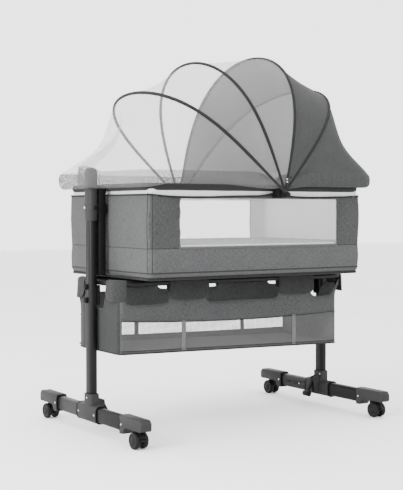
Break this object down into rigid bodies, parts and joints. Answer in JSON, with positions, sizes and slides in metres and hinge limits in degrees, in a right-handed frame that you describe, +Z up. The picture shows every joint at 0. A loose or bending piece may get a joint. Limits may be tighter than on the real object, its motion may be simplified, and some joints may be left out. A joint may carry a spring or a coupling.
{
  "type": "bassinet on stand",
  "caption": "Bedside bassinet on a wheeled telescoping stand, with mesh windows, a hooped folding canopy of net and hood fabric, and a storage basket.",
  "frame": {"origin": "on the floor, under the middle of the stand", "axes": "+X along the length toward the hood end, -Y toward the front long side with the lowered edge, +Z up"},
  "size_m": [0.9492, 0.656, 1.169],
  "materials": {
    "black_steel_tube": "satin black powder coat",
    "inner_steel": "bare drawn steel",
    "grey_plastic": "fine moulded texture, dark grey",
    "black_plastic": "fine moulded texture, black",
    "pin_steel": "bright plated steel",
    "wheel_plastic": "black caster tread",
    "heather_fabric": "heather grey woven linen-look fabric",
    "dark_binding": "dark grey woven binding",
    "window_mesh": "fine white mesh",
    "basket_mesh": "light grey mesh",
    "net": "sheer white mosquito net",
    "hood_fabric": "heather grey woven hood fabric",
    "mattress_cover": "soft light grey knit cover",
    "board": "covered stiff board"
  },
  "bodies": {
    "left_stand": {"left_t_joint": "grey_plastic", "left_inner_tube": "inner_steel"},
    "bassinet": {"left_post": "black_steel_tube", "left_post_sleeve": "grey_plastic", "left_upright": "black_plastic", "left_frame_bracket": "black_plastic", "left_frame_bolts": "black_plastic", "right_post": "black_steel_tube", "right_post_sleeve": "grey_plastic", "right_upright": "black_plastic", "right_frame_bracket": "black_plastic", "right_frame_bolts": "black_plastic", "top_rail": "dark_binding", "fabric_box": "heather_fabric", "front_window_mesh": "window_mesh", "rear_window_mesh": "window_mesh", "front_piping": "dark_binding", "base_board": "board", "mattress": "mattress_cover", "basket_frame": "black_steel_tube", "storage_basket": "heather_fabric", "basket_mesh_front": "basket_mesh", "basket_mesh_rear": "basket_mesh", "basket_floor": "heather_fabric", "canopy_hub_front": "black_plastic", "canopy_hub_rear": "black_plastic", "canopy_hood_end": "hood_fabric"},
    "right_stand": {"right_t_joint": "grey_plastic", "right_inner_tube": "inner_steel"},
    "hoop_4": {"canopy_hoop_4": "black_steel_tube"},
    "hoop_3": {"canopy_hoop_3": "black_steel_tube", "canopy_hood_3_4": "hood_fabric"},
    "hoop_2": {"canopy_hoop_2": "black_steel_tube", "canopy_net_2_3": "net"},
    "hoop_1": {"canopy_hoop_1": "black_steel_tube", "canopy_net_1_2": "net", "canopy_net_end": "net"},
    "left_pedal": {"left_pedal": "black_plastic"},
    "left_foot": {"left_foot_tube": "black_steel_tube", "left_lock_pin": "pin_steel", "left_front_foot_cap": "grey_plastic", "left_rear_foot_cap": "grey_plastic"},
    "left_front_caster": {"left_front_caster_housing": "black_plastic"},
    "left_front_wheels": {"left_front_caster_wheels": "wheel_plastic"},
    "left_front_brake": {"left_front_brake_lever": "black_plastic"},
    "left_rear_caster": {"left_rear_caster_housing": "black_plastic"},
    "left_rear_wheels": {"left_rear_caster_wheels": "wheel_plastic"},
    "left_rear_brake": {"left_rear_brake_lever": "black_plastic"},
    "right_pedal": {"right_pedal": "black_plastic"},
    "right_foot": {"right_foot_tube": "black_steel_tube", "right_lock_pin": "pin_steel", "right_front_foot_cap": "grey_plastic", "right_rear_foot_cap": "grey_plastic"},
    "right_front_caster": {"right_front_caster_housing": "black_plastic"},
    "right_front_wheels": {"right_front_caster_wheels": "wheel_plastic"},
    "right_front_brake": {"right_front_brake_lever": "black_plastic"},
    "right_rear_caster": {"right_rear_caster_housing": "black_plastic"},
    "right_rear_wheels": {"right_rear_caster_wheels": "wheel_plastic"},
    "right_rear_brake": {"right_rear_brake_lever": "black_plastic"}
  },
  "joints": [
    {"name": "lift", "type": "slide", "parent": "left_stand", "child": "bassinet", "axis": [0, 0, 1], "range_m": [0, 0.125]},
    {"name": "right_lift", "type": "slide", "parent": "bassinet", "child": "right_stand", "axis": [0, 0, -1], "range_m": [0, 0.125]},
    {"name": "left_pedal_press", "type": "hinge", "parent": "left_stand", "child": "left_pedal", "pos_m": [-0.411, 0, 0.092], "axis": [0, 1, 0], "range_deg": [0, 8], "stiffness_Nm_per_rad": 1, "springref_deg": -2.86},
    {"name": "left_foot_slide", "type": "slide", "parent": "left_stand", "child": "left_foot", "axis": [0, -1, 0], "range_m": [0, 0.034]},
    {"name": "left_front_swivel", "type": "hinge", "parent": "left_foot", "child": "left_front_caster", "pos_m": [-0.445, -0.27, 0.06], "axis": [0, 0, 1], "continuous": true},
    {"name": "left_front_roll", "type": "hinge", "parent": "left_front_caster", "child": "left_front_wheels", "pos_m": [-0.445, -0.284, 0.024], "axis": [1, 0, 0], "continuous": true},
    {"name": "left_front_brake_press", "type": "hinge", "parent": "left_front_caster", "child": "left_front_brake", "pos_m": [-0.445, -0.3045, 0.03], "axis": [1, 0, 0], "range_deg": [0, 10]},
    {"name": "left_rear_swivel", "type": "hinge", "parent": "left_foot", "child": "left_rear_caster", "pos_m": [-0.445, 0.27, 0.06], "axis": [0, 0, 1], "continuous": true},
    {"name": "left_rear_roll", "type": "hinge", "parent": "left_rear_caster", "child": "left_rear_wheels", "pos_m": [-0.445, 0.284, 0.024], "axis": [1, 0, 0], "continuous": true},
    {"name": "left_rear_brake_press", "type": "hinge", "parent": "left_rear_caster", "child": "left_rear_brake", "pos_m": [-0.445, 0.3045, 0.03], "axis": [-1, 0, 0], "range_deg": [0, 10]},
    {"name": "right_pedal_press", "type": "hinge", "parent": "right_stand", "child": "right_pedal", "pos_m": [0.411, 0, 0.092], "axis": [0, -1, 0], "range_deg": [0, 8], "stiffness_Nm_per_rad": 1, "springref_deg": -2.86},
    {"name": "right_foot_slide", "type": "slide", "parent": "right_stand", "child": "right_foot", "axis": [0, -1, 0], "range_m": [0, 0.034]},
    {"name": "right_front_swivel", "type": "hinge", "parent": "right_foot", "child": "right_front_caster", "pos_m": [0.445, -0.27, 0.06], "axis": [0, 0, 1], "continuous": true},
    {"name": "right_front_roll", "type": "hinge", "parent": "right_front_caster", "child": "right_front_wheels", "pos_m": [0.445, -0.284, 0.024], "axis": [1, 0, 0], "continuous": true},
    {"name": "right_front_brake_press", "type": "hinge", "parent": "right_front_caster", "child": "right_front_brake", "pos_m": [0.445, -0.3045, 0.03], "axis": [1, 0, 0], "range_deg": [0, 10]},
    {"name": "right_rear_swivel", "type": "hinge", "parent": "right_foot", "child": "right_rear_caster", "pos_m": [0.445, 0.27, 0.06], "axis": [0, 0, 1], "continuous": true},
    {"name": "right_rear_roll", "type": "hinge", "parent": "right_rear_caster", "child": "right_rear_wheels", "pos_m": [0.445, 0.284, 0.024], "axis": [1, 0, 0], "continuous": true},
    {"name": "right_rear_brake_press", "type": "hinge", "parent": "right_rear_caster", "child": "right_rear_brake", "pos_m": [0.445, 0.3045, 0.03], "axis": [-1, 0, 0], "range_deg": [0, 10]},
    {"name": "canopy_fold", "type": "hinge", "parent": "bassinet", "child": "hoop_4", "pos_m": [0.057, 0, 0.718], "axis": [0, 1, 0], "range_deg": [0, 26], "deforming": ["canopy_hood_end"]},
    {"name": "hoop_3_fold", "type": "hinge", "parent": "hoop_4", "child": "hoop_3", "pos_m": [0.057, 0, 0.718], "axis": [0, 1, 0], "range_deg": [0, 22.1], "deforming": ["canopy_hood_3_4"]},
    {"name": "hoop_2_fold", "type": "hinge", "parent": "hoop_3", "child": "hoop_2", "pos_m": [0.057, 0, 0.718], "axis": [0, 1, 0], "range_deg": [0, 22.36], "deforming": ["canopy_net_2_3"]},
    {"name": "hoop_1_fold", "type": "hinge", "parent": "hoop_2", "child": "hoop_1", "pos_m": [0.057, 0, 0.718], "axis": [0, 1, 0], "range_deg": [0, 23.4], "deforming": ["canopy_net_1_2", "canopy_net_end"]}
  ],
  "couplings": [
    {"joint": "right_lift", "follows": "lift", "ratio": 1},
    {"joint": "hoop_3_fold", "follows": "canopy_fold", "ratio": 0.85},
    {"joint": "hoop_2_fold", "follows": "canopy_fold", "ratio": 0.86},
    {"joint": "hoop_1_fold", "follows": "canopy_fold", "ratio": 0.9}
  ]
}
